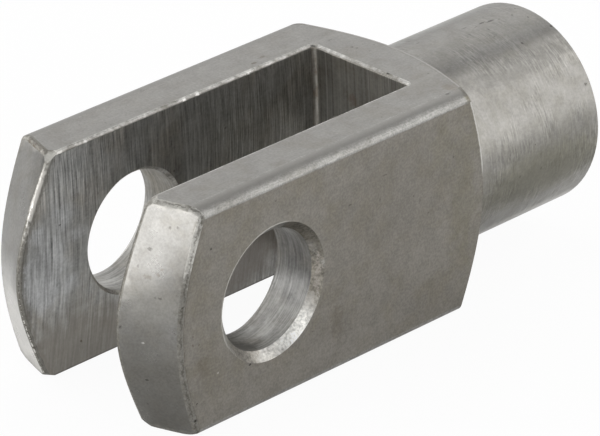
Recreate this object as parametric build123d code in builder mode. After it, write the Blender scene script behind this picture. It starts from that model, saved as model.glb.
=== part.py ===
from build123d import *
from math import isclose, radians, sin, sqrt, tan
import os

# Rod clevis: a fork head turned and milled from one piece of square cold-drawn bar.
# Origin: the pin's axis, midway between the two ears.
# +X runs along the rod's thread and out of its mouth, +Y along the pin, +Z out of the slot.
# It lies on a flat of the bar, with the slot open upwards and downwards.
# All sizes are in millimetres and all angles in degrees.

# Square bar. Each long edge is drawn round in two curves: an easy one that leaves the upper or
# lower flat and turns by the angle, and a tight one that ends in the side
bar_width = 27.0
bar_edge_flat_radius = 3.2
bar_edge_side_radius = 0.75
bar_edge_turn = 30.0

# Pin bore through both ears
pin_diameter = 14.0
pin_outer_chamfer = 1.0
pin_inner_chamfer = 0.4

# Slot, milled by a disc cutter that is fed in along the bar
slot_width = 14.25
slot_depth = 28.8
cutter_radius = 100.0
slot_corner_radius = 0.5

# Nose of the ears: the sawn end, and the cone turned on it
nose_reach = 18.4
nose_face_diameter = 12.8
nose_angle = 30.0

# Turned neck and the shoulder cone behind it
rod_end = 56.0
neck_diameter = 23.7
neck_length = 21.2
neck_end_chamfer = 0.5
shoulder_angle = 30.0

# Threaded hole for the rod, drilled through into the slot (M14 x 2)
thread_diameter = 14.0
thread_pitch = 2.0
thread_mouth_angle = 90.0
thread_mouth_rim = 0.5

# Broken edges: round the nose of each ear, and along the mouths of the slot
nose_edge_radius = 0.7
slot_edge_radius = 0.4

# Clearance by which a cutting shape runs past the metal that it removes
overrun = 2.0

# How near a face or an edge lies to its place when it is picked out
tolerance = 0.001

# A broken edge of the slot is at most this share of the nose's rounding, into which it runs
most_of_rounding = 0.65

# Sizes that follow from the ones above
half_bar = bar_width / 2
neck_radius = neck_diameter / 2
nose_face_radius = nose_face_diameter / 2
bar_corner = half_bar * sqrt(2) + overrun
neck_start = rod_end - neck_length
nose_rise = tan(radians(nose_angle))
shoulder_rise = tan(radians(shoulder_angle))
tap_drill_radius = (thread_diameter - thread_pitch) / 2
mouth_radius = thread_diameter / 2 + thread_mouth_rim
nose_rounding = min(nose_edge_radius, bar_edge_side_radius)
slot_rounding = min(slot_edge_radius, most_of_rounding * nose_rounding)


with BuildPart() as clevis:
    # The square bar, with its drawn edges: a quarter of its section, mirrored twice
    edge_offset = bar_edge_flat_radius - bar_edge_side_radius
    edge_run = edge_offset * sin(radians(bar_edge_turn)) + bar_edge_side_radius
    edge_start = (half_bar - edge_run, half_bar)
    with BuildSketch(Plane.YZ.offset(-nose_reach)):
        with BuildLine():
            Line((0, half_bar), edge_start)
            easy = JernArc(edge_start, (1, 0), bar_edge_flat_radius, -bar_edge_turn)
            tight = JernArc(easy @ 1, easy % 1, bar_edge_side_radius, bar_edge_turn - 90)
            Line(tight @ 1, (half_bar, 0))
            mirror(about=Plane.YZ)
            mirror(about=Plane.XZ)
        make_face()
    extrude(amount=nose_reach + rod_end)

    # Turning: nose cone, shoulder cone and neck in one outline about the rod's axis
    with BuildSketch(Plane.XZ):
        with BuildLine():
            Polyline(
                (-nose_reach, 0),
                (-nose_reach, nose_face_radius),
                (-nose_reach + (bar_corner - nose_face_radius) * nose_rise, bar_corner),
                (neck_start - (bar_corner - neck_radius) * shoulder_rise, bar_corner),
                (neck_start, neck_radius),
                (rod_end - neck_end_chamfer, neck_radius),
                (rod_end, neck_radius - neck_end_chamfer),
                (rod_end, 0),
                close=True,
            )
        make_face()
    revolve(axis=Axis.X, mode=Mode.INTERSECT)

    # The turned nose is rounded where it meets the drawn faces of the bar
    nose_cone = clevis.faces().filter_by(GeomType.CONE).sort_by(Axis.X)[0]
    nose_edges = nose_cone.edges().filter_by(
        lambda edge: edge.geom_type not in (GeomType.CIRCLE, GeomType.LINE)
    )
    fillet(nose_edges, nose_rounding)

    # The slot: its bottom keeps the round of the cutter's rim
    cut_half_height = half_bar + overrun
    cut_corner = slot_depth - cutter_radius + sqrt(cutter_radius**2 - cut_half_height**2)
    cut_start = -nose_reach - overrun
    with BuildSketch(Plane.XZ):
        with BuildLine():
            Polyline(
                (cut_corner, cut_half_height),
                (cut_start, cut_half_height),
                (cut_start, -cut_half_height),
                (cut_corner, -cut_half_height),
            )
            ThreePointArc(
                (cut_corner, -cut_half_height),
                (slot_depth, 0),
                (cut_corner, cut_half_height),
            )
        make_face()
    extrude(amount=slot_width / 2, both=True, mode=Mode.SUBTRACT)

    # The cutter's rounded rim leaves a rounding between each cheek and the slot's floor
    slot_floor = clevis.faces().filter_by(GeomType.CYLINDER).filter_by(
        lambda face: isclose(face.radius, cutter_radius, abs_tol=tolerance)
    )
    fillet(slot_floor.edges().filter_by(GeomType.CIRCLE), slot_corner_radius)

    # Every edge that the cutter left open is broken: round both cheeks, and across the slot's two ends
    cheeks = clevis.faces().filter_by(Axis.Y).filter_by(
        lambda face: isclose(abs(face.center().Y), slot_width / 2, abs_tol=tolerance)
    )
    flats = clevis.faces().filter_by(Axis.Z).filter_by(
        lambda face: isclose(abs(face.center().Z), half_bar, abs_tol=tolerance)
    )
    slot_ends = flats.edges().filter_by(
        lambda edge: abs(edge.center().Y) < slot_width / 2 - tolerance and edge.center().X < slot_depth
    )
    fillet(cheeks.edges().filter_by(GeomType.CIRCLE, reverse=True) + slot_ends, slot_rounding)

    # Tapping-size hole for the rod, with its countersunk mouth
    with Locations(Plane((rod_end, 0, 0), x_dir=(0, 1, 0), z_dir=(1, 0, 0))):
        CounterSinkHole(
            radius=tap_drill_radius,
            counter_sink_radius=mouth_radius,
            depth=rod_end - slot_depth + overrun,
            counter_sink_angle=thread_mouth_angle,
        )

    # Pin bore, chamfered on both sides of each ear
    with Locations(Plane.XZ):
        Hole(radius=pin_diameter / 2)
    pin_edges = clevis.edges(Select.LAST).filter_by(GeomType.CIRCLE)
    outer_rims = pin_edges.filter_by(
        lambda rim: isclose(abs(rim.center().Y), half_bar, abs_tol=tolerance)
    )
    inner_rims = pin_edges.filter_by(
        lambda rim: isclose(abs(rim.center().Y), slot_width / 2, abs_tol=tolerance)
    )
    chamfer(outer_rims, pin_outer_chamfer)
    chamfer(inner_rims, pin_inner_chamfer)

clevis.part.label = "clevis"

os.makedirs("parts", exist_ok=True)
export_step(clevis.part, "parts/clevis.step")
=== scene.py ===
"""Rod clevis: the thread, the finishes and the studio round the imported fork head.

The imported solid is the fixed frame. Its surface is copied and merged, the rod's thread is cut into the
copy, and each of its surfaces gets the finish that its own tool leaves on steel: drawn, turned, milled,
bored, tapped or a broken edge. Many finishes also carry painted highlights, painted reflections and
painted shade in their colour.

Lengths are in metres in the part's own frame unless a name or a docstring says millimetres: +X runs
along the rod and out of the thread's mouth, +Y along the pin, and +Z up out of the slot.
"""

import logging
import math
from collections.abc import Iterable
from dataclasses import dataclass, field
from enum import Enum
from itertools import product

import bmesh
import bpy
from mathutils import Matrix, Vector

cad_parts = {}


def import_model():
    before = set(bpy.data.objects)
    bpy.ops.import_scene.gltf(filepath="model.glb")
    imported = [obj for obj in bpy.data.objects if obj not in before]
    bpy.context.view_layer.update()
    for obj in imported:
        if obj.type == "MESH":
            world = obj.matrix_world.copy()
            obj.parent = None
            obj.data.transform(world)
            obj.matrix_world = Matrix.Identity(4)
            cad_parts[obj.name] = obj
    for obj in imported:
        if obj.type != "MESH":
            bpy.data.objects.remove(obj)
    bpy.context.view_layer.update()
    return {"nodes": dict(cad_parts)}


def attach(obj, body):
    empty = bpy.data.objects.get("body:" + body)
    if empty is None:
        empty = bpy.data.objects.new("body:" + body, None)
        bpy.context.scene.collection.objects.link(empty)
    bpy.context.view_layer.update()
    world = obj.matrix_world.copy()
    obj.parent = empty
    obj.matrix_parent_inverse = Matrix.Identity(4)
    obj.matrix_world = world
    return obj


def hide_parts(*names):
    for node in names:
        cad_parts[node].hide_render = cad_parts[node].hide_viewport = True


LOG = logging.getLogger("rod_clevis")
MM = 0.001
SLOPE_ANGLE = math.radians(30)  # of both turned cones to a plane across the rod, and of the thread's flanks

Colour = tuple[float, float, float]
Socket = bpy.types.NodeSocket
Source = Socket | float

BRIGHT: Colour = (0.72, 0.71, 0.68)
BROWN: Colour = (0.11, 0.085, 0.055)
OLIVE: Colour = (0.2, 0.185, 0.125)
PIT: Colour = (0.04, 0.036, 0.03)

# Soft noise swings round 0.5: nearly all of it lies in the wide range, and most of it in the narrow one
WIDE = (0.25, 0.75)
NARROW = (0.3, 0.7)


class Lay(Enum):
    """The way in which a tool's marks run over a surface."""

    DRAWN = "along the bar"
    TURNED = "round the rod's axis"
    MILLED = "in the disc cutter's arcs on the cheeks"
    PLUNGED = "up and down on the slot's floor"
    BORED = "round the pin's axis"


class Border(Enum):
    """The surfaces whose meeting lines with the others a point on the fork head can lie near."""

    SIDE = "the bar's two side flats"
    TOP = "the bar's upper and lower flats"
    SLOT = "the slot's two cheeks"
    NOSE = "the cone of the nose"
    SHOULDER = "the cone of the shoulder"
    PIN = "the wall of the pin bore"
    ROD_END = "the end face of the neck"


class NodeSheet:
    """One material's nodes, which short calls make and wire."""

    def __init__(self, name: str) -> None:
        """Start a material that holds only its output.

        Args:
            name: The material's name.
        """
        self.material = bpy.data.materials.new(name)
        self.material.use_nodes = True
        self.tree = self.material.node_tree
        self.tree.nodes.clear()
        self.output = self.node("OutputMaterial", {})

    def node(self, kind: str, inputs: dict[str | int, Source | Colour], **settings: str) -> bpy.types.Node:
        """Make a node, set it up and feed its inputs.

        Args:
            kind: Its type, without the words that every shader node's type starts with.
            inputs: The source of each input, by the input's name or number.
            settings: Its options.

        Returns:
            The node.
        """
        node = self.tree.nodes.new("ShaderNode" + kind)
        for name, value in settings.items():
            setattr(node, name, value)
        for name, source in inputs.items():
            self.feed(node.inputs[name], source)
        return node

    def feed(self, socket: Socket, source: Source | Colour) -> None:
        """Link a socket to another node's output, or set it to a constant.

        Args:
            socket: The input to feed.
            source: An output socket, a number, or a colour or vector of three numbers.
        """
        if isinstance(source, Socket):
            self.tree.links.new(source, socket)
        elif isinstance(source, tuple) and socket.type == "RGBA":
            socket.default_value = (*source, 1.0)
        else:
            socket.default_value = source

    def maths(self, operation: str, *sources: Source) -> Socket:
        """Work out one number from others."""
        return self.node("Math", dict(enumerate(sources)), operation=operation).outputs[0]

    def vector(self, operation: str, *sources: Source | Colour) -> Socket:
        """Work out a vector, or one number of it, from others."""
        node = self.node("VectorMath", dict(enumerate(sources)), operation=operation)
        return node.outputs["Value" if operation in ("LENGTH", "DOT_PRODUCT") else "Vector"]

    def scale(self, source: Socket, factor: Source) -> Socket:
        """Multiply a vector or a colour by a number."""
        return self.node("VectorMath", {0: source, "Scale": factor}, operation="SCALE").outputs[0]

    def point(self, *sources: Source) -> Socket:
        """Join three numbers into one point."""
        return self.node("CombineXYZ", dict(enumerate(sources))).outputs[0]

    def noise(self, at: Socket, scale: float, detail: float = 2, rough: float = 0.5) -> Socket:
        """Sample soft noise, ``scale`` cells to a unit, with finer layers of a share of its strength."""
        inputs = {"Vector": at, "Scale": scale, "Detail": detail, "Roughness": rough}
        return self.node("TexNoise", inputs).outputs["Fac"]

    def ramp(self, source: Source, low: float, high: float, start: float = 0, end: float = 1) -> Socket:
        """Carry the range from low to high to that from start to end, held at both of its ends."""
        inputs = {"Value": source, "From Min": low, "From Max": high, "To Min": start, "To Max": end}
        return self.node("MapRange", inputs, interpolation_type="SMOOTHSTEP").outputs["Result"]

    def tint(self, share: Source, first: Source | Colour, second: Source | Colour) -> Socket:
        """Mix a share of the second colour into the first."""
        inputs = {"Factor": share, 6: first, 7: second}
        return self.node("Mix", inputs, data_type="RGBA").outputs[2]


@dataclass(frozen=True)
class Outline:
    """The fork head's main sizes in millimetres, from which a finish tells how near an edge is.

    Args:
        half_bar: Half the bar's width.
        half_slot: Half the slot's width.
        cutter: The disc cutter's radius.
        pin: The pin bore's radius.
        pin_chamfer: How wide the pin bore's outer chamfer is.
        nose_face: The radius of the nose's small end.
        nose_reach: How far the nose reaches from the pin's axis.
        neck: The neck's radius.
        neck_start: Where the neck meets the shoulder's cone.
        rod_end: The neck's end face.
        mouth: The radius of the thread's countersunk mouth.
        slope: How far both cones run along the rod for each millimetre of radius.
    """

    half_bar: float = 13.5
    half_slot: float = 7.125
    cutter: float = 100.0
    pin: float = 7.0
    pin_chamfer: float = 1.0
    nose_face: float = 6.4
    nose_reach: float = 18.4
    neck: float = 11.85
    neck_start: float = 34.8
    rod_end: float = 56.0
    mouth: float = 7.5
    slope: float = math.tan(SLOPE_ANGLE)


@dataclass(frozen=True)
class Place:
    """A point of the surface, in millimetres, as a material's nodes know it.

    Args:
        sheet: The material's nodes.
        at: The point.
        x: How far it lies along the rod.
        y: How far it lies along the pin.
        z: How high it lies.
        outline: The fork head's sizes.
    """

    sheet: NodeSheet
    at: Socket
    x: Socket
    y: Socket
    z: Socket
    outline: Outline = Outline()

    @classmethod
    def on(cls, sheet: NodeSheet) -> "Place":
        """Start from the object's own coordinates."""
        at = sheet.scale(sheet.node("TexCoord", {}).outputs["Object"], 1 / MM)
        return cls(sheet, at, *sheet.node("SeparateXYZ", {0: at}).outputs)

    def radius(self, first: Socket, second: Socket) -> Socket:
        """Give the distance from the axis at which both coordinates are 0."""
        maths = self.sheet.maths
        return maths("SQRT", maths("ADD", *(maths("MULTIPLY", side, side) for side in (first, second))))

    def sag(self) -> Socket:
        """Give how far the cutter's arc has bent back towards the nose at the point's height."""
        maths = self.sheet.maths
        return maths("MULTIPLY", maths("MULTIPLY", self.z, self.z), 0.5 / self.outline.cutter)

    def from_border(self, border: Border) -> Socket:
        """Give the distance from a border, in millimetres.

        Args:
            border: The border.

        Returns:
            The distance, which is 0 on the border and grows into the metal's surface.
        """
        maths, sizes = self.sheet.maths, self.outline
        if border is Border.SIDE:
            return maths("SUBTRACT", sizes.half_bar, maths("ABSOLUTE", self.y))
        if border is Border.TOP:
            return maths("SUBTRACT", sizes.half_bar, maths("ABSOLUTE", self.z))
        if border is Border.SLOT:
            return maths("SUBTRACT", maths("ABSOLUTE", self.y), sizes.half_slot)
        if border is Border.PIN:
            return maths("SUBTRACT", self.radius(self.x, self.z), sizes.pin)
        if border is Border.ROD_END:
            return maths("SUBTRACT", sizes.rod_end, self.x)
        cone = maths("MULTIPLY", self.radius(self.y, self.z), sizes.slope)
        if border is Border.NOSE:
            start = -sizes.nose_reach - sizes.nose_face * sizes.slope
            return maths("SUBTRACT", self.x, maths("ADD", cone, start))
        start = sizes.neck_start + sizes.neck * sizes.slope
        return maths("SUBTRACT", maths("SUBTRACT", start, cone), self.x)

    def lay(self, lay: Lay) -> tuple[Socket, ...]:
        """Give the coordinate across a tool's lines, and two that change slowly along them.

        Args:
            lay: The way in which the lines run.

        Returns:
            The coordinate across and the two along.
        """
        maths = self.sheet.maths
        if lay is Lay.DRAWN:
            return maths("ADD", self.y, self.z), self.x, maths("SUBTRACT", self.y, self.z)
        if lay is Lay.PLUNGED:
            return self.y, self.z, self.x
        if lay is Lay.MILLED:
            return maths("ADD", self.x, self.sag()), self.z, self.y
        if lay is Lay.BORED:
            return maths("ADD", self.y, self.radius(self.x, self.z)), self.x, self.z
        return maths("ADD", self.x, self.radius(self.y, self.z)), self.y, self.z


@dataclass(frozen=True)
class ToolMarks:
    """The lines that a tool leaves, as a height and as a shade.

    Args:
        lay: The way in which they run.
        pitch_mm: About how far apart they lie.
        run_mm: About how long one line goes on.
        depth_mm: How deep they are.
        share: How much they lighten and darken the metal.
        patch_mm: How large the patches are in which they show. At 0 they show everywhere.
    """

    PATCH_RANGE = (0.42, 0.6)  # of the patches' noise, over which the lines fade in

    lay: Lay
    pitch_mm: float
    run_mm: float
    depth_mm: float
    share: float
    patch_mm: float = 0

    def height(self, place: Place) -> Socket:
        """Give the lines' height at a point.

        Args:
            place: The point of the surface.

        Returns:
            The height, which swings round 0.5.
        """
        sheet = place.sheet
        over, *along = place.lay(self.lay)
        stretched = sheet.point(
            sheet.maths("MULTIPLY", over, 1 / self.pitch_mm),
            *(sheet.maths("MULTIPLY", way, 1 / self.run_mm) for way in along),
        )
        lines = sheet.noise(stretched, 1, detail=3, rough=0.6)
        if not self.patch_mm:
            return lines
        patches = sheet.ramp(sheet.noise(place.at, 1 / self.patch_mm), *self.PATCH_RANGE)
        swing = sheet.maths("MULTIPLY", sheet.maths("SUBTRACT", lines, 0.5), patches)
        return sheet.maths("ADD", swing, 0.5)


@dataclass(frozen=True)
class Mottle:
    """Something uneven in soft patches.

    Args:
        size_mm: About how large a patch is.
        share: How much it changes the metal.
    """

    size_mm: float
    share: float


@dataclass(frozen=True)
class Specks:
    """Small dark pits, strewn over a surface.

    Args:
        apart_mm: About how far apart they could lie.
        size_mm: The radius of the largest.
        share: How many of those places have one.
        strength: How much of them shows.
        colour: Their colour.
    """

    RIM = 0.4  # the share of a speck's radius over which it fades in

    apart_mm: float
    size_mm: float
    share: float
    strength: float = 0.6
    colour: Colour = (0.05, 0.045, 0.036)

    def cover(self, place: Place) -> Socket:
        """Give how much of a speck covers a point.

        Args:
            place: The point of the surface.

        Returns:
            The cover, from 0 to the specks' strength.
        """
        sheet = place.sheet
        cells = sheet.node("TexVoronoi", {"Vector": place.at, "Scale": 1 / self.apart_mm})
        lot = sheet.node("SeparateColor", {0: cells.outputs["Color"]}).outputs[0]
        radius = self.size_mm / self.apart_mm
        reach = sheet.ramp(lot, 1 - self.share, 1, 0, radius)
        inside = sheet.maths("SUBTRACT", reach, cells.outputs["Distance"])
        return sheet.ramp(inside, 0, self.RIM * radius, 0, self.strength)


@dataclass(frozen=True)
class EdgeBand:
    """A band along an edge, lighter or darker than the surface: some bands are wear and film, others are
    painted highlights and painted shade along an edge's rounding.

    Args:
        border: The edge.
        start_mm: How far from the edge it starts.
        end_mm: How far from the edge it ends.
        colour: The metal's colour in it.
        strength: How much of that colour shows.
        ragged_mm: How far its sides wander.
        broken: How much of its length is missing, from 0 to 1.
        towards: The side on which it shows, as a direction from the pin, for a painted highlight that only
            the lit side has. At None it shows everywhere.
    """

    WANDER_SCALE = 1.6  # cells to a millimetre of the noise that moves its sides
    GAP_SCALE = 1.1  # and of the noise that leaves its gaps
    GAP_RANGE = (0.15, 0.3)  # of that noise, over which a band with few gaps fades in
    BLUR = 0.3  # how soft its sides are, as a share of its width
    LEAST_BLUR_MM = 0.04
    TOWARDS_MM = (2.0, 4.5)  # how far from the pin, towards its side, it fades in

    border: Border
    start_mm: float
    end_mm: float
    colour: Colour
    strength: float
    ragged_mm: float = 0.15
    broken: float = 0
    towards: tuple[float, float, float] | None = None

    def cover(self, place: Place) -> Socket:
        """Give how much of the band covers a point.

        Args:
            place: The point of the surface.

        Returns:
            The cover, from 0 to the band's strength.
        """
        sheet = place.sheet
        wander = sheet.noise(place.at, self.WANDER_SCALE, detail=3, rough=0.65)
        wander = sheet.ramp(wander, *NARROW, -self.ragged_mm, self.ragged_mm)
        away = sheet.maths("ADD", place.from_border(self.border), wander)
        blur = max(self.BLUR * (self.end_mm - self.start_mm), self.LEAST_BLUR_MM)
        share = sheet.maths(
            "MULTIPLY",
            sheet.ramp(away, self.start_mm - blur, self.start_mm + blur),
            sheet.ramp(away, self.end_mm - blur, self.end_mm + blur, 1, 0),
        )
        if self.broken:
            gaps = sheet.noise(place.at, self.GAP_SCALE, detail=4, rough=0.7)
            low, high = (self.broken / 2 + limit for limit in self.GAP_RANGE)
            share = sheet.maths("MULTIPLY", share, sheet.ramp(gaps, low, high))
        if self.towards is not None:
            over = sheet.vector("DOT_PRODUCT", place.at, self.towards)
            share = sheet.maths("MULTIPLY", share, sheet.ramp(over, *self.TOWARDS_MM))
        return sheet.maths("MULTIPLY", share, self.strength)


@dataclass(frozen=True)
class Spot:
    """One mark at its own place: a pit, a stain, a bright nick, or a broad lighter or darker area, which is
    mostly painted reflection and painted shade.

    Args:
        at_mm: Its place on the surface.
        size_mm: Its radius.
        strength: How much of it shows.
        colour: Its colour.
        stretch: How much longer it is along x, y and z.
        ragged: How far its rim wanders, as a share of its radius.
    """

    WANDER_SCALE = 1.5  # cells to a radius of the noise that moves its rim
    FADE = (0.4, 1.1)  # the shares of its radius between which it fades out

    at_mm: tuple[float, float, float]
    size_mm: float
    strength: float
    colour: Colour = PIT
    stretch: tuple[float, float, float] = (1, 1, 1)
    ragged: float = 0.35

    def cover(self, place: Place) -> Socket:
        """Give how much of the mark covers a point.

        Args:
            place: The point of the surface.

        Returns:
            The cover, from 0 to the mark's strength.
        """
        sheet = place.sheet
        shape = tuple(self.size_mm * length for length in self.stretch)
        away = sheet.vector("DIVIDE", sheet.vector("SUBTRACT", place.at, self.at_mm), shape)
        wander = sheet.noise(place.at, self.WANDER_SCALE / self.size_mm, rough=0.6)
        wander = sheet.ramp(wander, *NARROW, -self.ragged, self.ragged)
        rim = sheet.maths("ADD", sheet.vector("LENGTH", away), wander)
        return sheet.ramp(rim, *self.FADE, self.strength, 0)


@dataclass(frozen=True)
class SteelFinish:
    """Bare steel as one tool leaves it, with its handling marks and, in many finishes, painted highlights,
    reflections and shade.

    Args:
        name: The material's name.
        metal: The colour of the bright metal.
        film: The colour of the thin brown film that stays in patches.
        roughness: How widely it scatters what it mirrors.
        lines: The tool's lines, one or more sets of them.
        film_mottle: The patches of the film.
        mottles: The patches of uneven brightness.
        specks: The strewn pits.
        bands: The bands along its edges.
        stains_and_painted_light: Broad lighter and darker areas under its lines and patches: a few stains,
            most of them painted reflections and painted shade.
        spots: The marks that have their own places, over everything else: pits, stains and nicks, and a few
            painted highlights and painted shade.
    """

    FILM_RANGE = (0.4, 0.7)  # of the film's noise, over which it fades in
    ROUGHNESS_SWAY = 0.03  # how far the roughness goes up and down with the film
    LEAST_LIGHT = 0.1  # the most that patches and lines can darken the metal
    GRAIN_MM = 0.25  # the size of the fine grain
    GRAIN_DEPTH_MM = 0.003

    name: str
    metal: Colour
    film: Colour
    roughness: float
    lines: tuple[ToolMarks, ...]
    film_mottle: Mottle = Mottle(3, 0.6)
    mottles: tuple[Mottle, ...] = (Mottle(0.35, 0.05), Mottle(2.2, 0.04))
    specks: tuple[Specks, ...] = (Specks(1.4, 0.16, 0.25),)
    bands: tuple[EdgeBand, ...] = ()
    stains_and_painted_light: tuple[Spot, ...] = ()
    spots: tuple[Spot, ...] = ()

    def material(self) -> bpy.types.Material:
        """Build the finish as a material on Object coordinates.

        Returns:
            The material.
        """
        sheet = NodeSheet(self.name)
        place = Place.on(sheet)
        light, height = self.tool_work(place)
        film = sheet.noise(place.at, 1 / self.film_mottle.size_mm, detail=4, rough=0.6)
        filmed = sheet.ramp(film, *self.FILM_RANGE, 0, self.film_mottle.share)
        colour = sheet.tint(filmed, self.metal, self.film)
        # Stains, and painted reflections and painted shade, go under the lines and patches
        for painted_light_or_stain in self.stains_and_painted_light:
            colour = sheet.tint(painted_light_or_stain.cover(place), colour, painted_light_or_stain.colour)
        colour = sheet.scale(colour, light)
        for mark in self.bands + self.specks + self.spots:
            colour = sheet.tint(mark.cover(place), colour, mark.colour)
        sway = sheet.ramp(film, *NARROW, -self.ROUGHNESS_SWAY, self.ROUGHNESS_SWAY)
        relief = sheet.node("Bump", {"Strength": 1, "Distance": MM, "Height": height})
        surface = sheet.node(
            "BsdfPrincipled",
            {
                "Base Color": colour,
                "Metallic": 1,
                "Roughness": sheet.maths("ADD", sway, self.roughness),
                "Normal": relief.outputs["Normal"],
            },
        )
        sheet.feed(sheet.output.inputs["Surface"], surface.outputs[0])
        return sheet.material

    def tool_work(self, place: Place) -> tuple[Socket, Socket]:
        """Add up what the patches, the lines and the grain do to the metal.

        Args:
            place: The point of the surface.

        Returns:
            The factor of its light, which swings round 1, and its height in millimetres.
        """
        sheet = place.sheet
        light: Source = 1
        height = sheet.maths("MULTIPLY", sheet.noise(place.at, 1 / self.GRAIN_MM), self.GRAIN_DEPTH_MM)
        patches = [(sheet.noise(place.at, 1 / patch.size_mm, 3, 0.6), patch) for patch in self.mottles]
        lines = [(marks.height(place), marks) for marks in self.lines]
        for swing, source in patches + lines:
            light = sheet.maths("ADD", sheet.ramp(swing, *WIDE, -2 * source.share, 2 * source.share), light)
        for swing, marks in lines:
            height = sheet.maths("ADD", height, sheet.maths("MULTIPLY", swing, marks.depth_mm))
        return sheet.maths("MAXIMUM", light, self.LEAST_LIGHT), height


DRAWN_TOP_FLAT = SteelFinish(
    "drawn_top_flat",
    metal=(0.28, 0.273, 0.258),
    film=(0.24, 0.228, 0.203),
    roughness=0.39,
    lines=(ToolMarks(Lay.DRAWN, 0.3, 7, 0.0015, 0.015),),
    mottles=(Mottle(0.3, 0.05), Mottle(2.2, 0.03)),
    specks=(Specks(1.5, 0.2, 0.25, 0.5), Specks(0.8, 0.14, 0.3, 0.3)),
    bands=(
        EdgeBand(Border.SLOT, -0.1, 0.5, (0.36, 0.35, 0.33), 0.25),
        # Along the shoulder's edge: a lighter line, painted highlight, and just inside it a darker one,
        # painted shade.
        EdgeBand(Border.SHOULDER, -0.1, 0.2, (0.4, 0.385, 0.365), 0.5, 0.06, 0.2),
        EdgeBand(Border.SHOULDER, 0.28, 0.44, (0.2, 0.19, 0.17), 0.45, 0.06, 0.3),
    ),
    stains_and_painted_light=(
        Spot((9, 10.3, 13.5), 1, 0.5, (0.315, 0.307, 0.291), (24, 3.6, 1), 0.15),
        Spot((30.5, -10.8, 13.5), 1, 0.4, (0.19, 0.16, 0.125)),
    ),
    spots=(
        Spot((19.55, 8.31, 13.5), 0.26, 0.65, BROWN, (1.8, 0.8, 1)),
        Spot((21.35, 8.79, 13.5), 0.3, 0.4, BROWN, (2.2, 0.9, 1)),
        Spot((30.75, 3.15, 13.5), 0.16, 0.6),
        Spot((30.55, 3.72, 13.5), 0.18, 0.5),
        Spot((30.16, 6.69, 13.5), 0.12, 0.5, stretch=(3, 0.7, 1)),
    ),
)
DRAWN_SIDE_FLAT = SteelFinish(
    "drawn_side_flat",
    # Darker and browner than the top flats' metal, though it is the same drawn steel: the darkness is
    # painted shade.
    metal=(0.242, 0.228, 0.203),
    film=(0.215, 0.196, 0.156),
    roughness=0.39,
    lines=(ToolMarks(Lay.DRAWN, 0.3, 7, 0.0015, 0.012),),
    mottles=(Mottle(0.28, 0.075), Mottle(2.2, 0.035)),
    specks=(Specks(1.3, 0.2, 0.25, 0.45),),
    bands=(
        # Painted highlights: a bright line along the shoulder's edge on its upper part, and a bright arc at
        # the outer edge of the pin bore's chamfer, up and towards the nose. The dark lines along the nose's
        # edge stand for the shade of its broken edge: painted shade.
        EdgeBand(Border.SHOULDER, -0.1, 0.16, (0.66, 0.65, 0.62), 0.85, 0.04, 0.15, (0, 0, 1)),
        EdgeBand(Border.NOSE, 0.38, 0.56, (0.11, 0.1, 0.08), 0.6, 0.08, 0.4),
        EdgeBand(Border.NOSE, 0.5, 0.9, (0.17, 0.158, 0.132), 0.25, 0.2, 0.4),
        EdgeBand(Border.PIN, 0.9, 1.12, (0.55, 0.54, 0.5), 0.75, 0.03, 0.3, (-0.8, 0, 0.6)),
    ),
    # Brown and olive stains; the broad grey lighter and darker areas are painted reflection and painted
    # shade.
    stains_and_painted_light=(
        Spot((-10.9, -13.5, -5.1), 1.3, 0.22, BROWN, (1, 1, 1.3)),
        Spot((10.4, -13.5, -8), 0.9, 0.28, BROWN, (1.3, 1, 3.6)),
        Spot((26.6, -13.5, 8.2), 2.6, 0.3, OLIVE, (0.8, 1, 1.2)),
        Spot((30.4, -13.5, 2), 2.2, 0.42, (0.2, 0.187, 0.142), (1.1, 1, 4.6), 0.5),
        Spot((-1, -13.5, -9.6), 1.2, 0.14, OLIVE, (1.8, 1, 0.6)),
        Spot((4, -13.5, -12), 1, 0.65, (0.29, 0.274, 0.247), (24, 1, 4.6), 0.15),
        Spot((20, -13.5, 5), 1, 0.3, (0.19, 0.178, 0.156), (14, 1, 9), 0.2),
        Spot((-1, -13.5, 0), 1, 0.3, (0.28, 0.264, 0.237), (9, 1, 9), 0.15),
    ),
    spots=(
        Spot((-9.94, -13.5, 8.64), 0.16, 0.9),
        Spot((-11.55, -13.5, -9.15), 0.14, 0.8),
        Spot((-12.39, -13.5, -0.86), 0.13, 0.6, BROWN),
        Spot((-12.36, -13.5, -1.94), 0.16, 0.6, BROWN),
        Spot((-11.44, -13.5, -2.15), 0.13, 0.6, BROWN),
        Spot((-8.41, -13.5, -6.6), 0.13, 0.5, BRIGHT),
        Spot((-3.44, -13.5, -7.4), 0.18, 0.9),
        Spot((17.25, -13.5, 8.16), 0.14, 0.5, stretch=(3, 1, 0.6)),
        Spot((11.73, -13.5, 6.42), 0.14, 0.5, stretch=(2, 1, 1)),
        Spot((16.59, -13.5, 5.38), 0.13, 0.5, stretch=(0.8, 1, 2.6)),
        Spot((23.2, -13.5, 3.14), 0.13, 0.5, stretch=(0.8, 1, 2.2)),
    ),
)
DRAWN_EDGE = SteelFinish(
    "drawn_edge",
    # Lighter than the flats' metal: partly painted highlight on the rounded edge.
    metal=(0.32, 0.314, 0.298),
    film=(0.265, 0.255, 0.232),
    roughness=0.43,
    lines=(ToolMarks(Lay.DRAWN, 0.2, 1.6, 0.004, 0.06),),
    mottles=(Mottle(0.22, 0.1), Mottle(0.7, 0.05)),
    bands=(
        # The darker upper part of the rounding is painted shade.
        EdgeBand(Border.SIDE, 0.66, 1.85, (0.265, 0.258, 0.241), 0.85, 0.12),
        EdgeBand(Border.SHOULDER, -0.1, 0.4, (0.15, 0.14, 0.115), 0.6, 0.1),
    ),
    stains_and_painted_light=(
        Spot((30.6, -11.9, 13.45), 0.9, 0.5, (0.19, 0.16, 0.125)),
        Spot((31.1, -13.2, 12.7), 0.9, 0.7, OLIVE),
    ),
    spots=(Spot((29, -11.83, 13.48), 0.2, 0.6, stretch=(2.2, 1, 1)),),
)
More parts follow.
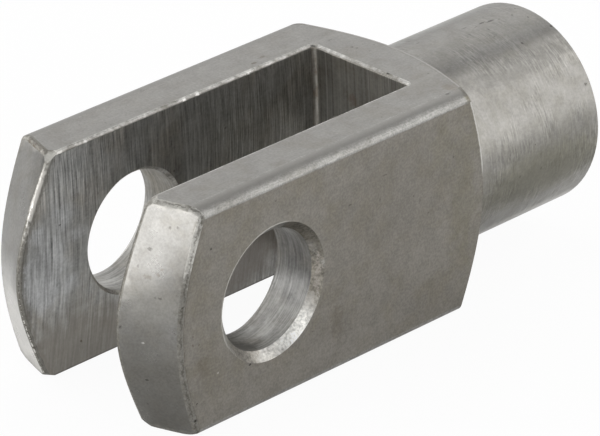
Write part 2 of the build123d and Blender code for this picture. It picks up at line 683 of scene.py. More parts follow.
TURNED_NOSE = SteelFinish(
    "turned_nose",
    metal=(0.248, 0.243, 0.23),
    film=(0.222, 0.21, 0.186),
    roughness=0.3,
    lines=(ToolMarks(Lay.TURNED, 0.25, 5, 0.001, 0.01),),
    mottles=(Mottle(0.28, 0.05), Mottle(1.6, 0.03)),
    specks=(Specks(1.6, 0.16, 0.2, 0.4),),
    bands=(
        # A lighter band along the top edge is painted highlight; a darker broken one along the side edge is
        # painted shade.
        EdgeBand(Border.TOP, 0, 0.6, (0.33, 0.32, 0.29), 0.4, 0.2, 0.3),
        EdgeBand(Border.SIDE, 0.35, 0.75, (0.15, 0.142, 0.12), 0.4, 0.2, 0.7),
    ),
    # Painted reflections and shade: the near nose darker towards the bottom, the far nose lighter, with
    # lighter and darker bands on both.
    stains_and_painted_light=(
        Spot((-15, 7.3, 10), 1, 0.7, (0.6, 0.585, 0.55), (2.4, 0.36, 5)),
        Spot((-16, -7.1, 0), 1, 0.5, (0.19, 0.18, 0.15), (4, 0.6, 15)),
        Spot((-15.5, -10.5, -8.8), 8, 0.6, (0.13, 0.125, 0.11), (1, 1, 1.3), 0.08),
        Spot((-16, -10.5, 3), 3, 0.4, (0.36, 0.35, 0.32), (1, 1.6, 1), 0.1),
        Spot((-15.5, 10, -8.5), 8, 0.9, (0.72, 0.705, 0.67), (1, 1, 1.25), 0.08),
        Spot((-15.5, 10, 4.8), 3.4, 0.5, (0.29, 0.284, 0.268), (1, 1.6, 1), 0.15),
        Spot((-15, -10.5, 9), 3.6, 0.35, (0.2, 0.196, 0.186), (1, 1.6, 1), 0.15),
    ),
    spots=(
        Spot((-13.19, -10.62, 11.17), 0.2, 0.45),
        Spot((-12.81, -11.41, 11.33), 0.18, 0.4),
        Spot((-14.73, -9.25, 8.77), 0.24, 0.5, stretch=(1, 1.3, 1)),
        Spot((-15.21, -11.29, 3.82), 0.2, 0.5, stretch=(1, 1.6, 0.8)),
        Spot((-15.46, -10.81, 3.85), 0.14, 0.4),
        Spot((-15.49, -9.77, 5.94), 0.4, 0.3, BROWN, (1, 1.6, 0.7)),
        Spot((-14.93, -10.68, 6.31), 0.25, 0.3, BROWN),
        Spot((-14.62, -10.95, 6.88), 0.2, 0.3, BROWN),
        Spot((-15.76, -8.54, 6.88), 0.18, 0.35),
        Spot((-15.38, -9.78, -6.29), 0.14, 0.85, stretch=(1, 2.4, 0.8)),
        Spot((-17.58, -7.82, 0.08), 0.24, 0.55),
        Spot((-16.28, -9.96, -1.49), 0.16, 0.6, BRIGHT, (1, 1.5, 0.7)),
    ),
)
NOSE_EDGE_WEAR_AND_PAINTED_LIGHT = SteelFinish(
    "nose_edge_wear_and_painted_light",
    metal=(0.26, 0.252, 0.23),
    film=(0.2, 0.188, 0.162),
    roughness=0.58,
    lines=(ToolMarks(Lay.TURNED, 0.3, 1, 0.004, 0.04),),
    film_mottle=Mottle(0.6, 0.8),
    mottles=(Mottle(0.25, 0.08),),
    specks=(Specks(0.7, 0.16, 0.4, 0.5),),
    bands=(EdgeBand(Border.NOSE, 0.12, 0.26, (0.1, 0.093, 0.078), 0.6, 0.1, 0.45),),
    # Painted highlights on the near ear's upper corners, and painted shade beside the slot and on the far
    # ear's top.
    stains_and_painted_light=(
        Spot((-12.2, -13.2, 8.8), 1, 0.7, (0.7, 0.69, 0.65), (2, 0.7, 4.8), 0.2),
        Spot((-12.4, -10, 13.3), 1, 0.6, (0.6, 0.59, 0.55), (1.2, 3.4, 0.8), 0.2),
        Spot((-11.6, -12.6, 12.7), 1, 0.6, (0.62, 0.61, 0.58), (1.4, 1.3, 1)),
        Spot((-16, -7.1, 0), 1, 0.6, (0.19, 0.18, 0.15), (4, 0.6, 15)),
        Spot((-12.6, 10, 13.3), 1, 0.5, (0.22, 0.205, 0.18), (1.2, 3.2, 0.8), 0.1),
    ),
    spots=(
        # Painted highlights along the far ear's edge by the slot and at its top corner; the brown ones are
        # stains.
        Spot((-15.2, 7.2, 9.3), 1, 0.85, (0.7, 0.68, 0.64), (2.6, 0.6, 5.6)),
        Spot((-11.99, 11.57, 13.1), 0.4, 0.6, BROWN),
        Spot((-12.46, 10.34, 13.09), 0.4, 0.6, BROWN),
        Spot((-12.9, 7.2, 12.9), 1.4, 0.8, (0.62, 0.61, 0.57)),
        Spot((-11.69, -13.47, -11.15), 0.2, 0.9),
    ),
)
TURNED_NECK = SteelFinish(
    "turned_neck",
    metal=(0.265, 0.257, 0.24),
    film=(0.225, 0.215, 0.185),
    roughness=0.35,
    lines=(
        ToolMarks(Lay.TURNED, 0.22, 1.5, 0.018, 0.13, 5),
        ToolMarks(Lay.TURNED, 0.4, 9, 0.003, 0.02),
    ),
    film_mottle=Mottle(2, 0.4),
    mottles=(Mottle(0.3, 0.05), Mottle(2.2, 0.03)),
    bands=(
        EdgeBand(Border.ROD_END, -0.1, 0.35, (0.14, 0.133, 0.115), 0.55, 0.05),
        EdgeBand(Border.SHOULDER, -0.6, 0.25, (0.34, 0.33, 0.305), 0.45, 0.15),
    ),
    # Painted reflections and shade in long bands along the neck: a dark olive-tinted band on the near side,
    # a light one low down, and lighter and darker ones on top.
    stains_and_painted_light=(
        Spot((46, -11.7, -1.8), 1, 0.6, (0.18, 0.173, 0.128), (14, 3, 4.6), 0.1),
        Spot((46, -11.5, -2.5), 1, 0.4, (0.13, 0.125, 0.1), (14, 1.2, 2.6), 0.15),
        Spot((46, -8, -8.8), 1, 0.6, (0.62, 0.61, 0.58), (14, 2.5, 2.1), 0.15),
        Spot((46, -11.2, 3.2), 1, 0.3, (0.19, 0.185, 0.165), (14, 1.4, 2.4), 0.1),
        Spot((47, -4, 11.15), 1, 0.5, (0.33, 0.322, 0.308), (13, 1.3, 0.7), 0.2),
        Spot((47, -7, 9.56), 1, 0.6, (0.17, 0.165, 0.153), (13, 1.8, 1.6), 0.15),
        Spot((47, -1.6, 11.74), 1, 0.25, (0.17, 0.165, 0.153), (13, 1.6, 1), 0.2),
    ),
    spots=(
        Spot((46.3, 0.9, 11.8), 0.16, 0.6, stretch=(3.2, 0.7, 1)),
        Spot((48.1, -1.2, 11.79), 0.13, 0.6, stretch=(0.7, 2.6, 1)),
        Spot((49.87, 0.16, 11.84), 0.26, 0.85, stretch=(2.6, 0.7, 1)),
        Spot((48.82, 0.44, 11.83), 0.22, 0.8, stretch=(2.6, 0.7, 1)),
        Spot((47.47, 0.16, 11.84), 0.14, 0.6, stretch=(2, 0.6, 1)),
        Spot((51.03, -0.18, 11.84), 0.13, 0.6, stretch=(2, 0.6, 1)),
        Spot((49.7, -4.84, 10.81), 0.18, 0.7, stretch=(0.8, 1.4, 1)),
        Spot((52.97, -0.45, 11.83), 0.16, 0.7),
        Spot((54.1, -1.87, 11.7), 0.15, 0.7),
        Spot((55.27, -4.35, 11.02), 0.2, 0.7),
        Spot((54.75, -10.25, 5.9), 0.2, 0.7, stretch=(1.6, 1, 1)),
        Spot((45.37, -0.79, 11.82), 0.2, 0.5, stretch=(0.7, 1.6, 1)),
        Spot((39.74, 2.02, 11.67), 0.2, 0.45, stretch=(2, 0.8, 1)),
        Spot((42.12, -11.81, -0.98), 0.12, 0.5, stretch=(1, 1, 2)),
        Spot((45.74, -11.8, -1.08), 0.12, 0.5, stretch=(1, 1, 2)),
    ),
)
MILLED_CHEEK = SteelFinish(
    "milled_cheek",
    # Lighter than the other faces' metal: partly brighter milled steel, partly painted light that stands
    # for the light reaching into the slot.
    metal=(0.52, 0.522, 0.512),
    film=(0.4, 0.375, 0.335),
    roughness=0.34,
    lines=(
        ToolMarks(Lay.MILLED, 0.24, 5, 0.045, 0.16),
        ToolMarks(Lay.MILLED, 0.45, 9, 0.045, 0.15, 7),
    ),
    film_mottle=Mottle(6, 0.8),
    mottles=(Mottle(0.28, 0.06), Mottle(2.5, 0.05)),
    specks=(Specks(2, 0.2, 0.25, 0.5),),
    bands=(EdgeBand(Border.NOSE, 0.45, 1.1, (0.22, 0.205, 0.175), 0.5, 0.2, 0.3),),
    # Painted sheen: a broad bluish-white area on the far cheek near the nose.
    stains_and_painted_light=(Spot((-13.5, 7.12, 0.8), 6, 0.85, (0.74, 0.75, 0.765), ragged=0.3),),
    spots=(
        # Painted shade: darker low on the far cheek, and where it lies behind the near ear's bore.
        Spot((-9, 7.12, -11.5), 7.5, 0.75, (0.27, 0.248, 0.213), (1.7, 1, 0.85), 0.2),
        Spot((16, 7.12, -8.5), 1, 0.75, (0.3, 0.272, 0.242), (11, 1, 7), 0.1),
        Spot((-8.25, 7.12, -10.54), 0.2, 0.75, BROWN),
        Spot((0.01, 7.12, 9.85), 0.14, 0.5, BRIGHT),
        Spot((1.34, 7.12, 12.4), 0.25, 0.35, BRIGHT, (0.8, 1, 2)),
        Spot((-11.65, 7.12, 4.68), 0.16, 0.6, stretch=(1.4, 1, 1)),
        Spot((-12.02, 7.12, -2.39), 0.12, 0.5, stretch=(0.7, 1, 2.6)),
    ),
)
MILLED_FLOOR = SteelFinish(
    "milled_floor",
    # Lighter than the drawn faces' metal: partly painted light that stands for the light reaching the
    # slot's floor.
    metal=(0.4, 0.386, 0.356),
    film=(0.28, 0.256, 0.214),
    roughness=0.36,
    lines=(
        ToolMarks(Lay.PLUNGED, 0.18, 20, 0.02, 0.13),
        ToolMarks(Lay.PLUNGED, 0.8, 30, 0.012, 0.07),
    ),
    spots=(
        Spot((28.4, 5.36, 8), 0.13, 0.5, (0.75, 0.73, 0.7), (10, 1, 60), 0.1),
        Spot((28.2, -1.06, 11), 0.1, 0.4, (0.75, 0.73, 0.7), (10, 1, 40), 0.1),
        Spot((28.1, -4.13, 12.5), 0.1, 0.4, (0.75, 0.73, 0.7), (10, 1, 20), 0.1),
        Spot((28.44, 1.43, 8.46), 0.9, 0.3, (0.3, 0.2, 0.15)),
    ),
)
BORED_WALL = SteelFinish(
    "bored_wall",
    metal=(0.345, 0.34, 0.325),
    film=(0.26, 0.243, 0.212),
    roughness=0.45,
    lines=(
        ToolMarks(Lay.BORED, 0.24, 5, 0.016, 0.12),
        ToolMarks(Lay.BORED, 0.7, 3, 0.02, 0.06),
    ),
    specks=(),
    # The far bore is darker and browner; on the near bore the grey lighter and darker areas are painted
    # reflections and painted shade.
    stains_and_painted_light=(
        Spot((3, 10.3, 3), 8, 0.4, (0.22, 0.195, 0.14), (1, 0.5, 1)),
        Spot((6.8, -10.3, -2), 3.2, 0.7, (0.205, 0.204, 0.2), (1, 1.4, 1), 0.15),
        Spot((2.9, -10.3, -6.4), 2.6, 0.4, (0.45, 0.445, 0.43), (1, 1.4, 1), 0.15),
        Spot((6.8, -10.5, 2), 2.2, 0.4, (0.21, 0.2, 0.195)),
        Spot((5.3, -10.6, 4.5), 0.8, 0.5, (0.5, 0.49, 0.475), (1.2, 1.7, 1)),
    ),
    # Painted shade low in the near bore, towards the nose.
    spots=(Spot((-1.8, -11.2, -6.8), 1.9, 0.55, (0.12, 0.118, 0.11), (1.5, 0.9, 1)),),
)
COUNTERSUNK_RIM = SteelFinish(
    "countersunk_rim",
    metal=(0.42, 0.41, 0.388),
    film=(0.3, 0.28, 0.235),
    roughness=0.42,
    lines=(ToolMarks(Lay.BORED, 0.2, 2.2, 0.03, 0.16),),
    mottles=(Mottle(0.3, 0.16),),
    specks=(),
    # Painted highlight: the bright crescent low on the near rim; the darker areas round the rest of it, one
    # brownish, are painted shade.
    stains_and_painted_light=(
        Spot((3.7, -13, -6.4), 3.4, 0.88, (0.88, 0.87, 0.83), ragged=0.2),
        Spot((-3.6, -13, -6.6), 3.4, 0.8, (0.23, 0.215, 0.19), ragged=0.2),
        Spot((7.4, -13, -0.6), 3.4, 0.6, (0.25, 0.225, 0.175)),
        Spot((5.3, -13, 5.3), 5, 0.85, (0.13, 0.118, 0.092)),
    ),
    spots=(
        Spot((7.3, -13.1, 1.6), 0.3, 0.6, (0.5, 0.46, 0.42), (0.7, 0.7, 2), 0.6),
        Spot((7.5, -13, 0.2), 0.4, 0.6, (0.5, 0.46, 0.42), (1, 1, 1.6), 0.7),
        Spot((7.3, -13, -1.6), 0.4, 0.5, (0.5, 0.46, 0.42), (0.8, 0.8, 2.2), 0.7),
        Spot((6.9, -13, -3.1), 0.6, 0.5, (0.6, 0.57, 0.53), ragged=0.7),
    ),
)
TAPPED_THREAD = SteelFinish(
    "tapped_thread",
    metal=(0.42, 0.405, 0.375),
    film=(0.28, 0.258, 0.21),
    roughness=0.36,
    lines=(ToolMarks(Lay.TURNED, 0.15, 3, 0.004, 0.05),),
    specks=(),
)
BROKEN_EDGE = SteelFinish(
    "broken_edge",
    # Lighter than the faces beside it: partly bare worn metal, partly painted highlight.
    metal=(0.55, 0.54, 0.515),
    film=(0.24, 0.23, 0.2),
    roughness=0.45,
    lines=(ToolMarks(Lay.DRAWN, 0.3, 0.8, 0.006, 0.06),),
    film_mottle=Mottle(1.6, 0.9),
    mottles=(Mottle(0.3, 0.12),),
    specks=(),
    # The darker lower part of the edge's rounding is painted shade.
    bands=(EdgeBand(Border.TOP, 0.16, 0.8, (0.16, 0.153, 0.137), 0.9, 0.06),),
    spots=(
        Spot((7.36, 7.3, 13.4), 0.4, 0.8, BRIGHT),
        Spot((9.44, 7.3, 13.43), 0.45, 0.9, BRIGHT),
        Spot((17.6, 7.4, 13.4), 0.4, 0.8, BRIGHT, (1.8, 1, 1)),
        Spot((-7.89, 7.23, 13.37), 0.35, 0.7, BRIGHT),
        Spot((28.3, -3.77, 13.5), 0.25, 0.9),
        # Painted highlight at the far ear's top corner by the slot.
        Spot((-12.6, 7.2, 13.2), 1.4, 0.7, (0.62, 0.61, 0.57)),
    ),
)
SLOT_CORNER_ROUND = SteelFinish(
    "slot_corner",
    metal=(0.45, 0.43, 0.395),
    film=(0.24, 0.2, 0.155),
    roughness=0.5,
    lines=(ToolMarks(Lay.PLUNGED, 0.3, 14, 0.01, 0.1),),
    film_mottle=Mottle(1, 0.7),
    specks=(),
)


class Zone(Enum):
    """The surfaces of the fork head and their finishes, in the order of its material slots."""

    TOP_FLAT = DRAWN_TOP_FLAT
    LONG_EDGE = DRAWN_EDGE
    NOSE = TURNED_NOSE
    NOSE_EDGE = NOSE_EDGE_WEAR_AND_PAINTED_LIGHT
    NECK = TURNED_NECK
    CHEEK = MILLED_CHEEK
    FLOOR = MILLED_FLOOR
    BORE = BORED_WALL
    RIM = COUNTERSUNK_RIM
    THREAD = TAPPED_THREAD
    SLOT_EDGE = BROKEN_EDGE
    SLOT_CORNER = SLOT_CORNER_ROUND
    SIDE_FLAT = DRAWN_SIDE_FLAT


@dataclass
class RodThread:
    """The right-handed thread that holds the rod.

    Args:
        pitch: The distance from crest to crest.
        wall_radius: The tapping hole's radius, where the crests are.
        root_radius: The radius at the bottom of the groove.
        root_width: The flat at the bottom of the groove.
        inside: How far inside the hole's wall the shape starts that cuts the groove.
        start: Where the first turn starts, inside the slot.
        end: Where the last turn ends, past the mouth.
        steps: How many steps make one turn.
    """

    pitch: float = 2.0 * MM
    wall_radius: float = 6.0 * MM
    root_radius: float = 7.0 * MM
    root_width: float = 0.25 * MM
    inside: float = 0.35 * MM
    start: float = 25.0 * MM
    end: float = 59.0 * MM
    steps: int = 48

    def groove(self) -> bpy.types.Object:
        """Build the groove as a closed helical solid, by a screwed spin of its profile.

        Returns:
            The groove's object.
        """
        low = self.wall_radius - self.inside
        half_root = self.root_width / 2
        half_low = half_root + (self.root_radius - low) * math.tan(SLOPE_ANGLE)
        outline = (
            (-half_low, low),
            (-half_root, self.root_radius),
            (half_root, self.root_radius),
            (half_low, low),
        )
        cutter = bmesh.new()
        profile = cutter.faces.new(
            [cutter.verts.new((self.start + along, 0.0, radius)) for along, radius in outline]
        )
        count = round((self.end - self.start) / self.pitch * self.steps)
        bmesh.ops.spin(
            cutter,
            geom=[profile],
            cent=(0.0, 0.0, 0.0),
            axis=(1.0, 0.0, 0.0),
            dvec=(self.pitch / self.steps, 0.0, 0.0),
            angle=2 * math.pi * count / self.steps,
            steps=count,
            use_merge=False,
            use_duplicate=False,
        )
        bmesh.ops.recalc_face_normals(cutter, faces=cutter.faces)
        return mesh_object("thread_groove", cutter)


@dataclass(frozen=True)
class Filing:
    """How the four corners of the ears beside the slot are rounded by hand, in millimetres.

    Args:
        radius: The rounding's radius in the cheek's plane.
        strokes: How many flats the file leaves.
        lean: How far each flat leans towards the slot, as a share.
        reach: How far from the corner the file can touch the metal.
    """

    radius: float = 3.8
    strokes: int = 8
    lean: float = 0.3
    reach: float = 4.0


@dataclass
class ForkHead:
    """The fork head's shown surface: a merged copy of its solid with the thread cut in.

    Args:
        node: The CAD node that it stands for.
        slot_name: The record's material slot. It is not used.
        outline: Its main sizes.
        thread: The rod's thread.
        filing: The rounding of its ears' corners.
    """

    # Metres within which points are one, and within which they lie on a file's plane
    MERGE = 1e-6
    ON_PLANE = 1e-7
    # Degrees between two faces, of one zone or of two, from which their edge is shown sharp
    SHARP_WITHIN = 28
    SHARP_BETWEEN = 12

    # What tells the zones apart, in millimetres
    NEAR = 0.05  # how near a face's centre lies to its surface
    FLOOR_START = 26.5  # where the slot's floor, the thread and the neck have not yet begun
    SHOULDER_START = 30.0  # where the slot has ended and the shoulder's cone has not yet begun
    EDGE = 0.6  # how far the broken and the drawn edges reach below a flat
    NOSE_ROUNDING = 1.0  # how far the nose's rounding reaches along the rod
    MIDWAY = 8.0  # between the slot, the bores and their edges inside, and drawn edges and neck outside
    # And as parts of a face's normal
    FLAT = 0.9995  # how square a drawn flat stands to an axis
    CHEEK_FLAT = 0.99  # and a cheek
    FLOOR_FLAT = 0.97  # and the slot's hollow floor
    STEEP = 0.95  # more than any chamfer's or thread's flank
    LOW = 0.3  # less than any chamfer's
    FACING = 0.05  # how far the slot's floor and its corners face the nose, at the least
    IN_LINE = 0.02  # how nearly in line with an axis, or with the nose's cone, a face lies

    node: str = "clevis"
    slot_name: str = "steel"
    outline: Outline = Outline()
    thread: RodThread = field(default_factory=RodThread)
    filing: Filing = Filing()

    def build(self, source: bpy.types.Object) -> bpy.types.Object:
        """Copy the solid's surface, cut the thread, file the corners and dress the faces.

        Args:
            source: The CAD node's object, which stays as it is.

        Returns:
            The finished piece.
        """
        copy = bmesh.new()
        copy.from_mesh(source.data)
        bmesh.ops.remove_doubles(copy, verts=copy.verts, dist=self.MERGE)
        body = mesh_object("fork_head", copy)
        self.cut_thread(body)
        self.soften_corners(body)
        self.sort_faces(body)
        self.smooth(body)
        return body

    def cut_thread(self, body: bpy.types.Object) -> None:
        """Cut the thread's groove out of the body with a Boolean, and keep its result.

        Args:
            body: The piece.
        """
        groove = self.thread.groove()
        cut = body.modifiers.new("thread", "BOOLEAN")
        cut.operation = "DIFFERENCE"
        cut.solver = "EXACT"
        cut.object = groove
        shown = body.evaluated_get(bpy.context.evaluated_depsgraph_get())
        result = bpy.data.meshes.new_from_object(shown)
        body.modifiers.clear()
        blank, body.data = body.data, result
        result.name = body.name
        bpy.data.meshes.remove(blank)
        bpy.data.objects.remove(groove)

    def soften_corners(self, body: bpy.types.Object) -> None:
        """Round the four corners of the ears beside the slot, with a few strokes of a file at each.

        Args:
            body: The piece.
        """
        sizes, filing = self.outline, self.filing
        filed = bmesh.new()
        filed.from_mesh(body.data)
        from_rod = math.hypot(sizes.half_slot, sizes.half_bar)
        turn = math.atan(from_rod / (sizes.slope * sizes.half_bar))
        reach = filing.radius / math.tan((math.pi - turn) / 2)
        for side, up in product((-1.0, 1.0), repeat=2):
            corner = Vector((self.nose_line(from_rod), side * sizes.half_slot, up * sizes.half_bar)) * MM
            centre = corner + Vector((reach, 0.0, -up * filing.radius)) * MM
            for stroke in range(1, filing.strokes + 1):
                angle = turn * stroke / (filing.strokes + 1)
                away = Vector((-math.sin(angle), 0.0, up * math.cos(angle)))
                point = centre + away * filing.radius * MM
                self.file_off(filed, corner, point, away - Vector((0.0, filing.lean * side, 0.0)))
        filed.to_mesh(body.data)
        filed.free()

    def file_off(self, filed: bmesh.types.BMesh, corner: Vector, point: Vector, normal: Vector) -> None:
        """Cut away what lies past a plane near a corner, and close the cut.

        Args:
            filed: The body.
            corner: The corner.
            point: A point of the plane.
            normal: The way out of the metal.
        """
        reach = self.filing.reach * MM
        near = (vert for vert in filed.verts if (vert.co - corner).length < reach)
        touched = dict.fromkeys(face for vert in near for face in vert.link_faces)
        parts = dict.fromkeys(part for face in touched for part in (face, *face.edges, *face.verts))
        cut = bmesh.ops.bisect_plane(
            filed,
            geom=list(parts),
            dist=self.ON_PLANE,
            plane_co=point,
            plane_no=normal.normalized(),
            clear_outer=True,
        )
        edges = (part for part in cut["geom_cut"] if isinstance(part, bmesh.types.BMEdge))
        rim = [edge for edge in edges if edge.is_boundary]
        if rim:
            bmesh.ops.holes_fill(filed, edges=rim)

    def zone_of(self, centre: Vector, normal: Vector) -> Zone:
        """Tell which surface a face belongs to, from its place and its direction.

        Args:
            centre: The face's centre.
            normal: The face's outward normal.

        Returns:
            The face's zone.
        """
        sizes = self.outline
        x, y, z = centre.x / MM, abs(centre.y) / MM, abs(centre.z) / MM
        from_rod, from_pin = math.hypot(y, z), math.hypot(x, z)
        along, across, upright = normal.x, abs(normal.y), abs(normal.z)
        past_slot = x > self.FLOOR_START
        if past_slot and from_rod < sizes.mouth + self.NEAR and along > -self.STEEP:
            return Zone.THREAD
        if from_pin < sizes.pin + self.NEAR and across < self.IN_LINE:
            return Zone.BORE
        if from_pin < sizes.pin + sizes.pin_chamfer + self.NEAR and self.LOW < across < self.STEEP:
            return Zone.RIM
        if abs(y - sizes.half_slot) < self.NEAR and across > self.CHEEK_FLAT:
            return Zone.CHEEK
        if past_slot and y < sizes.half_slot + self.NEAR and along < -self.FACING and upright < self.LOW:
            return Zone.FLOOR if along < -self.FLOOR_FLAT else Zone.SLOT_CORNER
        if max(y, z) > sizes.half_bar - self.EDGE and abs(along) < self.IN_LINE:
            if across > self.FLAT:
                return Zone.SIDE_FLAT
            if upright > self.FLAT:
                return Zone.TOP_FLAT
            return Zone.LONG_EDGE if min(y, z) > self.MIDWAY else Zone.SLOT_EDGE
        if x < self.SHOULDER_START and y < sizes.half_slot + self.EDGE and z > sizes.half_bar - self.EDGE:
            past_nose = x > self.nose_line(from_rod) + self.NOSE_ROUNDING
            return Zone.SLOT_EDGE if past_nose else Zone.NOSE_EDGE
        if past_slot and from_rod > self.MIDWAY:
            return Zone.NECK
        on_cone = x < 0 and abs(along + math.cos(SLOPE_ANGLE)) < self.IN_LINE
        return Zone.NOSE if on_cone else Zone.NOSE_EDGE

    def nose_line(self, from_rod: float) -> float:
        """Give how far along the rod the nose's cone lies at a distance from the rod's axis."""
        return (from_rod - self.outline.nose_face) * self.outline.slope - self.outline.nose_reach

    def sort_faces(self, body: bpy.types.Object) -> None:
        """Give each face the material slot of its zone.

        Args:
            body: The piece.
        """
        zones = list(Zone)
        for zone in zones:
            body.data.materials.append(zone.value.material())
        count = dict.fromkeys(zones, 0)
        for face in body.data.polygons:
            zone = self.zone_of(face.center, face.normal)
            face.material_index = zones.index(zone)
            count[zone] += 1
        LOG.info("faces by zone: %s", {zone.name: number for zone, number in count.items()})

    def smooth(self, body: bpy.types.Object) -> None:
        """Shade the round surfaces smooth and leave the corners crisp.

        Args:
            body: The piece.
        """
        shaded = bmesh.new()
        shaded.from_mesh(body.data)
        for edge in shaded.edges:
            same = len({face.material_index for face in edge.link_faces}) == 1
            limit = self.SHARP_WITHIN if same else self.SHARP_BETWEEN
            edge.smooth = edge.calc_face_angle(0.0) < math.radians(limit)
        for face in shaded.faces:
            face.smooth = True
        shaded.to_mesh(body.data)
        shaded.free()
        weighted = body.modifiers.new("true_normals", "WEIGHTED_NORMAL")
        weighted.mode = "FACE_AREA"
        weighted.keep_sharp = True
        weighted.weight = 100


@dataclass(frozen=True)
class Lamp:
    """A soft box that points at the object.

    Args:
        name: Its name.
        azimuth: The way it stands, in degrees from +X towards +Y.
        elevation: How high it stands, in degrees.
        width: Its width.
        height: Its height.
        power: Its power in watts.
        distance: How far from the object.
    """

    name: str
    azimuth: float
    elevation: float
    width: float
    height: float
    power: float
    distance: float = 0.7

    def build(self, aim: Vector) -> None:
        """Add the lamp, pointed at a place.

        Args:
            aim: The place.
        """
        data = bpy.data.lights.new(self.name, "AREA")
        data.shape = "RECTANGLE"
        data.size = self.width
        data.size_y = self.height
        data.energy = self.power
        away = direction(self.azimuth, self.elevation)
        lamp = bpy.data.objects.new(self.name, data)
        lamp.location = aim + away * self.distance
        lamp.rotation_euler = away.to_track_quat("Z", "Y").to_euler()
        bpy.context.scene.collection.objects.link(lamp)


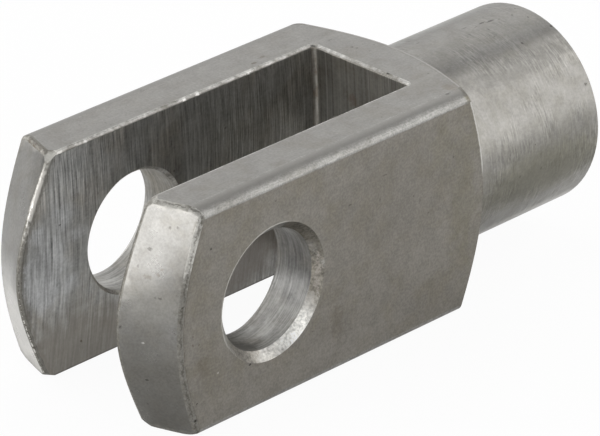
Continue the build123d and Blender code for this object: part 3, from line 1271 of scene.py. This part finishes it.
@dataclass
class Studio:
    """The pale floor, the soft boxes, the sky and the camera.

    Args:
        lamps: The soft boxes.
        table: The height of the floor.
        paper: How light its paper is.
        sky: How bright the sky is.
        white_seen: How much of the floor is plain white to the camera.
        white_mirrored: How much of the floor is plain white in the metal's reflections.
        aim: The point that the lamps face.
        azimuth: The camera's way from the object, in degrees from +X towards +Y.
        elevation: The camera's height, in degrees.
        roll: The camera's roll, in degrees.
        distance: The camera's distance from ``look_at``.
        look_at: The point at the picture's centre.
        focal_px: The focal length in pixels of the picture.
    """

    RINGS = ((0.0, 0.0), (3.2, 0.0), (3.6, 0.04), (3.85, 0.16), (4.0, 0.4))  # the floor's radii and heights
    RING_STEPS = 64
    PICTURE_WIDTH = 600
    SENSOR_WIDTH = 36.0
    SEEN = (0.01, 20.0)  # the nearest and the farthest that the camera sees

    lamps: tuple[Lamp, ...]
    table: float = -13.5 * MM
    paper: float = 0.85
    sky: float = 0.1
    white_seen: float = 0.95
    white_mirrored: float = 0.25
    aim: Vector = field(default_factory=lambda: Vector((0.02, 0.0, 0.0)))
    azimuth: float = 222.147
    elevation: float = 26.150
    roll: float = 1.768
    distance: float = 0.594
    look_at: Vector = field(default_factory=lambda: Vector((6.657, -10.907, 5.674)) * MM)
    focal_px: float = 5540.99

    def build(self) -> None:
        """Set up the whole studio."""
        self.lay_floor()
        self.hang_sky()
        for lamp in self.lamps:
            lamp.build(self.aim)
        self.place_camera()

    def lay_floor(self) -> None:
        """Lay one wide pale sheet of paper, with its rim swept up into a low backdrop."""
        sheet = bmesh.new()
        rail = [sheet.verts.new((reach, 0.0, self.table + rise)) for reach, rise in self.RINGS]
        edges = [sheet.edges.new(pair) for pair in zip(rail, rail[1:])]
        bmesh.ops.spin(
            sheet,
            geom=rail + edges,
            cent=(0.0, 0.0, 0.0),
            axis=(0.0, 0.0, 1.0),
            angle=2 * math.pi,
            steps=self.RING_STEPS,
            use_merge=True,
            use_duplicate=False,
        )
        bmesh.ops.remove_doubles(sheet, verts=sheet.verts, dist=1e-5)
        bmesh.ops.recalc_face_normals(sheet, faces=sheet.faces)
        if sum(face.normal.z for face in sheet.faces) < 0:
            bmesh.ops.reverse_faces(sheet, faces=sheet.faces)
        for face in sheet.faces:
            face.smooth = True
        floor = mesh_object("floor", sheet)
        floor.data.materials.append(self.white_paper())

    def white_paper(self) -> bpy.types.Material:
        """Build the floor's white paper, which shows white and keeps the object's shadow.

        Returns:
            The material.
        """
        sheet = NodeSheet("white_paper")
        matt = sheet.node("BsdfDiffuse", {"Color": (self.paper,) * 3})
        glow = sheet.node("Emission", {"Color": (1.0, 1.0, 1.0)})
        rays = sheet.node("LightPath", {}).outputs
        mirrored = sheet.maths("MAXIMUM", rays["Is Glossy Ray"], rays["Is Transmission Ray"])
        white = sheet.maths(
            "MAXIMUM",
            sheet.maths("MULTIPLY", rays["Is Camera Ray"], self.white_seen),
            sheet.maths("MULTIPLY", mirrored, self.white_mirrored),
        )
        mixed = sheet.node("MixShader", {0: white, 1: matt.outputs[0], 2: glow.outputs[0]})
        sheet.feed(sheet.output.inputs["Surface"], mixed.outputs[0])
        return sheet.material

    def hang_sky(self) -> None:
        """Set an even, faint sky."""
        world = bpy.data.worlds.new("sky")
        world.use_nodes = True
        background = world.node_tree.nodes["Background"]
        background.inputs["Color"].default_value = (1.0, 1.0, 1.0, 1.0)
        background.inputs["Strength"].default_value = self.sky
        bpy.context.scene.world = world

    def place_camera(self) -> None:
        """Set the camera at the photograph's viewing angle."""
        back = direction(self.azimuth, self.elevation)
        right = Vector((0.0, 0.0, 1.0)).cross(back).normalized()
        up = back.cross(right)
        lean = math.radians(self.roll)
        right, up = (
            right * math.cos(lean) + up * math.sin(lean),
            up * math.cos(lean) - right * math.sin(lean),
        )
        data = bpy.data.cameras.new("camera")
        data.sensor_width = self.SENSOR_WIDTH
        data.lens = self.SENSOR_WIDTH * self.focal_px / self.PICTURE_WIDTH
        data.clip_start, data.clip_end = self.SEEN
        camera = bpy.data.objects.new("camera", data)
        turned = Matrix((right, up, back)).transposed().to_4x4()
        camera.matrix_world = Matrix.Translation(self.look_at + back * self.distance) @ turned
        bpy.context.scene.collection.objects.link(camera)
        bpy.context.scene.camera = camera


def direction(azimuth: float, elevation: float) -> Vector:
    """Give a direction from its angle from +X towards +Y and its height, both in degrees."""
    turn, lift = math.radians(azimuth), math.radians(elevation)
    return Vector((math.cos(turn) * math.cos(lift), math.sin(turn) * math.cos(lift), math.sin(lift)))


def mesh_object(name: str, mesh_data: bmesh.types.BMesh) -> bpy.types.Object:
    """Turn a bmesh into an object at the origin.

    Args:
        name: The object's name.
        mesh_data: The bmesh, which is freed.

    Returns:
        The new object.
    """
    mesh = bpy.data.meshes.new(name)
    mesh_data.to_mesh(mesh)
    mesh_data.free()
    made = bpy.data.objects.new(name, mesh)
    bpy.context.scene.collection.objects.link(made)
    return made


def main() -> None:
    """Load the frame, then build and report each piece in order."""
    logging.basicConfig(level=logging.INFO, format="%(name)s: %(message)s")
    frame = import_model()

    head = ForkHead()
    piece = head.build(frame["nodes"][head.node])
    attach(piece, "root")
    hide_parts(head.node)
    LOG.info("fork head: %d faces", len(piece.data.polygons))

    studio = Studio(
        lamps=(
            Lamp("right_rear", 45, 26, 0.72, 0.52, 1.11),
            Lamp("rear_low", 90, 12, 0.36, 0.30, 1.69),
            Lamp("left_rear_low", 168, 13, 0.70, 0.34, 2.69),
            Lamp("left_rear_high", 135, 42, 0.68, 0.36, 1.13),
            Lamp("left_front", 250, 28, 0.60, 0.48, 1.18),
            Lamp("right_front_low", 312, 13, 0.68, 0.34, 1.43),
            Lamp("right_front_high", 335, 40, 0.45, 0.38, 1.1),
            Lamp("right_low", 15, 12, 0.40, 0.30, 1.89),
            Lamp("overhead", 75, 70, 0.45, 0.45, 1.03),
        )
    )
    studio.build()
    bpy.context.scene.view_settings.view_transform = "Standard"
    LOG.info("studio: %d lamps", len(studio.lamps))


if __name__ == "__main__":
    main()
